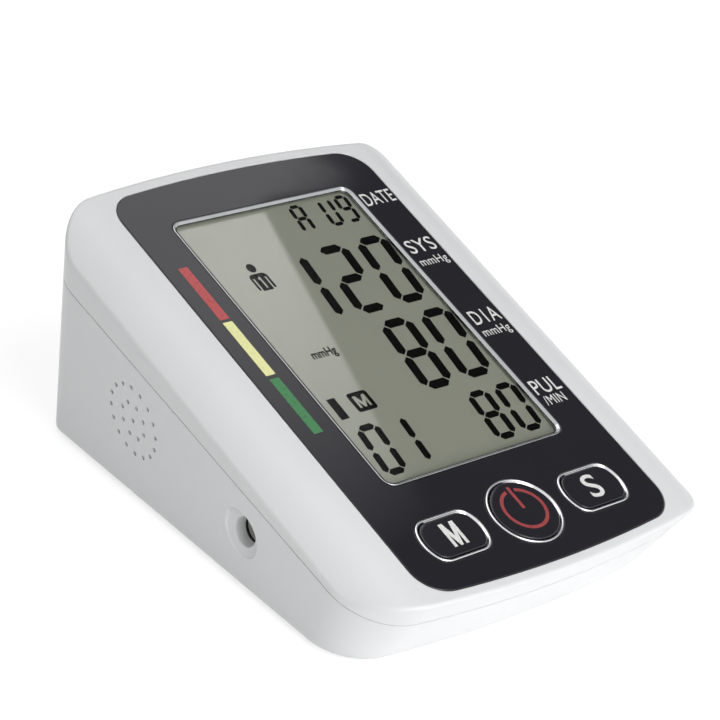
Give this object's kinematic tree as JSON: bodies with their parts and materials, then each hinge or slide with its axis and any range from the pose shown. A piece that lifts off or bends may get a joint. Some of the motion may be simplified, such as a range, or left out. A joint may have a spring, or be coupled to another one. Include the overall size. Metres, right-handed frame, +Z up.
{
  "type": "upper arm blood pressure monitor",
  "caption": "Wedge-shaped white blood pressure monitor with a sloping glossy black panel, a large display, bright-ringed buttons and an air socket in its side.",
  "frame": {"origin": "on the table plane under the middle of the body", "axes": "+Z up, +X to the user's right, +Y away from the user towards the tall end"},
  "size_m": [0.1036, 0.1324, 0.0631],
  "materials": {
    "white_shell": "satin gloss moulded plastic",
    "black_panel": "high gloss",
    "bright_trim": "polished plating",
    "clear_window": "clear",
    "display_glass": "grey-green liquid crystal cell",
    "white_inner": "matte",
    "board": "solder mask",
    "black_inner": "matte",
    "steel": "plain",
    "magnet": "ferrite",
    "copper": "enamelled winding",
    "silicone": "milky silicone",
    "black_rubber": "matte",
    "red_wire": "insulation",
    "cell_jacket": "printed jacket without marks"
  },
  "bodies": {
    "housing": {"top_cover": "white_shell", "bottom_case": "white_shell", "fascia_panel": "black_panel", "lcd_rim": "bright_trim", "lcd_window": "clear_window", "lcd_cell": "display_glass", "lcd_holder": "white_inner", "zebra_strip": "silicone", "main_board": "board", "controller_chip": "black_inner", "ring_memory": "bright_trim", "ring_power": "bright_trim", "ring_set": "bright_trim", "switch_memory": "black_inner", "switch_power": "black_inner", "switch_set": "black_inner", "speaker_basket": "steel", "speaker_magnet": "magnet", "speaker_cone": "black_inner", "air_jack": "white_inner", "jack_seal": "black_rubber", "pump_motor": "steel", "pump_head": "white_inner", "pump_cushion": "black_rubber", "valve_frame": "steel", "valve_coil": "copper", "pressure_sensor": "black_inner", "air_manifold": "white_inner", "hose_jack": "silicone", "hose_pump": "silicone", "hose_valve": "silicone", "hose_sensor": "silicone", "battery_1": "cell_jacket", "battery_2": "cell_jacket", "battery_3": "cell_jacket", "battery_4": "cell_jacket", "contact_springs": "steel", "contact_plates": "steel", "dc_inlet": "black_inner", "lead_positive": "red_wire", "lead_negative": "black_rubber", "case_screws": "steel", "board_screws": "steel", "rubber_feet": "black_rubber"},
    "memory_key": {"button_memory": "black_panel", "plunger_memory": "white_inner"},
    "power_key": {"button_power": "black_panel", "plunger_power": "white_inner"},
    "set_key": {"button_set": "black_panel", "plunger_set": "white_inner"},
    "door": {"battery_door": "white_shell"},
    "rotor": {"pump_rotor": "steel"},
    "valve_pin": {"valve_plunger": "steel"}
  },
  "joints": [
    {"name": "memory_press", "type": "slide", "parent": "housing", "child": "memory_key", "axis": [0, 0.3156, -0.9489], "range_m": [0, 0.0005], "stiffness_N_per_m": 1500, "springref_m": -0.0004},
    {"name": "power_press", "type": "slide", "parent": "housing", "child": "power_key", "axis": [0, 0.3156, -0.9489], "range_m": [0, 0.0005], "stiffness_N_per_m": 1500, "springref_m": -0.0004},
    {"name": "set_press", "type": "slide", "parent": "housing", "child": "set_key", "axis": [0, 0.3156, -0.9489], "range_m": [0, 0.0005], "stiffness_N_per_m": 1500, "springref_m": -0.0004},
    {"name": "door_slide", "type": "slide", "parent": "housing", "child": "door", "axis": [0, 1, 0], "range_m": [0, 0.008]},
    {"name": "rotor_spin", "type": "hinge", "parent": "housing", "child": "rotor", "pos_m": [-0.006, 0.04201, 0.03265], "axis": [1, 0, 0], "continuous": true},
    {"name": "valve_stroke", "type": "slide", "parent": "housing", "child": "valve_pin", "axis": [-1, 0, 0], "range_m": [0, 0.0012], "stiffness_N_per_m": 300, "springref_m": -0.001}
  ]
}
